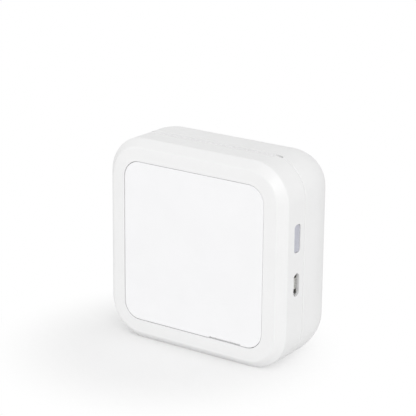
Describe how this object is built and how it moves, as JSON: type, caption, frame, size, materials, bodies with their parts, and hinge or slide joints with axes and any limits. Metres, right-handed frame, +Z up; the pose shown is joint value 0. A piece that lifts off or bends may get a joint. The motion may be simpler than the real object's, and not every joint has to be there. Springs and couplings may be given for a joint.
{
  "type": "portable thermal printer",
  "caption": "Rounded square pocket thermal printer standing on edge, with a let-in face plate, top paper slot, side button and socket, and a rear cover hinged at the base.",
  "frame": {"origin": "middle of the footprint, on the plane the printer stands on", "axes": "+X to the right across the front, +Y to the rear, +Z up; the face plate faces -Y"},
  "size_m": [0.079, 0.039, 0.079],
  "materials": {
    "white_abs": "glossy white moulded ABS",
    "white_abs_matte": "fine textured white ABS",
    "plate_white": "glossy white face plate",
    "button_clear": "translucent lavender grey polycarbonate",
    "chassis_black": "black glass filled nylon",
    "bush_white": "acetal",
    "gear_white": "acetal gear",
    "rubber": "ground silicone rubber",
    "steel": "bright steel",
    "spring_steel": "spring wire",
    "zinc_screw": "blackened steel screw",
    "motor_can": "drawn steel can",
    "aluminium": "extruded aluminium",
    "ceramic": "glazed alumina",
    "resin_black": "black potting resin",
    "flex_amber": "polyimide flat cable",
    "board_green": "solder masked glass epoxy",
    "chip_black": "moulded epoxy package",
    "tin_can": "tinned shield can",
    "socket_cream": "nylon connector",
    "switch_grey": "switch body",
    "lamp_clear": "lamp resin",
    "sensor_black": "sensor resin",
    "cell_foil": "pouch foil",
    "tape_grey": "foam tape",
    "wire_pvc": "wire insulation",
    "tongue_white": "socket tongue"
  },
  "bodies": {
    "front_half": {"front_shell": "white_abs", "hinge_pin": "steel", "tear_bar": "steel", "chassis": "chassis_black", "paper_sensor": "sensor_black", "gear_washers": "steel", "stepper_motor": "motor_can", "motor_ribbon": "flex_amber", "head_springs": "spring_steel", "head_ribbon": "flex_amber", "main_board": "board_green", "board_chips": "chip_black", "radio_can": "tin_can", "board_connectors": "socket_cream", "side_board": "board_green", "side_ribbon": "flex_amber", "switch_body": "switch_grey", "status_lamp": "lamp_clear", "usb_shell": "steel", "usb_tongue": "tongue_white", "battery_cell": "cell_foil", "battery_tape": "tape_grey", "battery_leads": "wire_pvc", "chassis_screws": "zinc_screw", "board_screws": "zinc_screw", "side_board_screws": "zinc_screw", "motor_screws": "zinc_screw"},
    "cover": {"rear_cover": "white_abs", "platen_carrier": "white_abs_matte", "platen_bushes": "bush_white", "carrier_screws": "zinc_screw"},
    "platen": {"platen_shaft": "steel", "platen_sleeve": "rubber", "platen_gear": "gear_white"},
    "idler": {"idler_gear": "gear_white"},
    "reduction": {"step_gear": "gear_white"},
    "pinion": {"motor_pinion": "gear_white"},
    "print_head": {"heat_sink": "aluminium", "head_strip": "ceramic", "head_drivers": "resin_black"},
    "button": {"power_button": "button_clear", "switch_plunger": "switch_grey"},
    "plate": {"face_plate": "plate_white"}
  },
  "joints": [
    {"name": "cover_hinge", "type": "hinge", "parent": "front_half", "child": "cover", "pos_m": [0, -0.0031, 0.0017], "axis": [-1, 0, 0], "range_deg": [0, 85]},
    {"name": "platen_spin", "type": "hinge", "parent": "cover", "child": "platen", "pos_m": [0, -0.0009, 0.068], "axis": [1, 0, 0], "continuous": true},
    {"name": "idler_spin", "type": "hinge", "parent": "front_half", "child": "idler", "pos_m": [-0.0325, -0.0097, 0.068], "axis": [1, 0, 0], "continuous": true},
    {"name": "reduction_spin", "type": "hinge", "parent": "front_half", "child": "reduction", "pos_m": [-0.034, -0.0102, 0.06162], "axis": [1, 0, 0], "continuous": true},
    {"name": "motor_spin", "type": "hinge", "parent": "front_half", "child": "pinion", "pos_m": [-0.034, -0.0107, 0.05404], "axis": [1, 0, 0], "continuous": true},
    {"name": "head_pivot", "type": "hinge", "parent": "front_half", "child": "print_head", "pos_m": [0, -0.008, 0.063], "axis": [1, 0, 0], "range_deg": [0, 2.5], "stiffness_Nm_per_rad": 0.2, "springref_deg": -5.73, "deforming": ["head_springs", "head_ribbon"]},
    {"name": "button_press", "type": "slide", "parent": "front_half", "child": "button", "axis": [-1, 0, 0], "range_m": [0, 0.0005], "stiffness_N_per_m": 2000, "springref_m": -0.0003},
    {"name": "plate_off", "type": "slide", "parent": "front_half", "child": "plate", "axis": [0, -1, 0], "range_m": [0, 0.03]}
  ],
  "couplings": [
    {"joint": "idler_spin", "follows": "platen_spin", "ratio": -1.2},
    {"joint": "reduction_spin", "follows": "platen_spin", "ratio": 2},
    {"joint": "motor_spin", "follows": "platen_spin", "ratio": -4.3333}
  ]
}
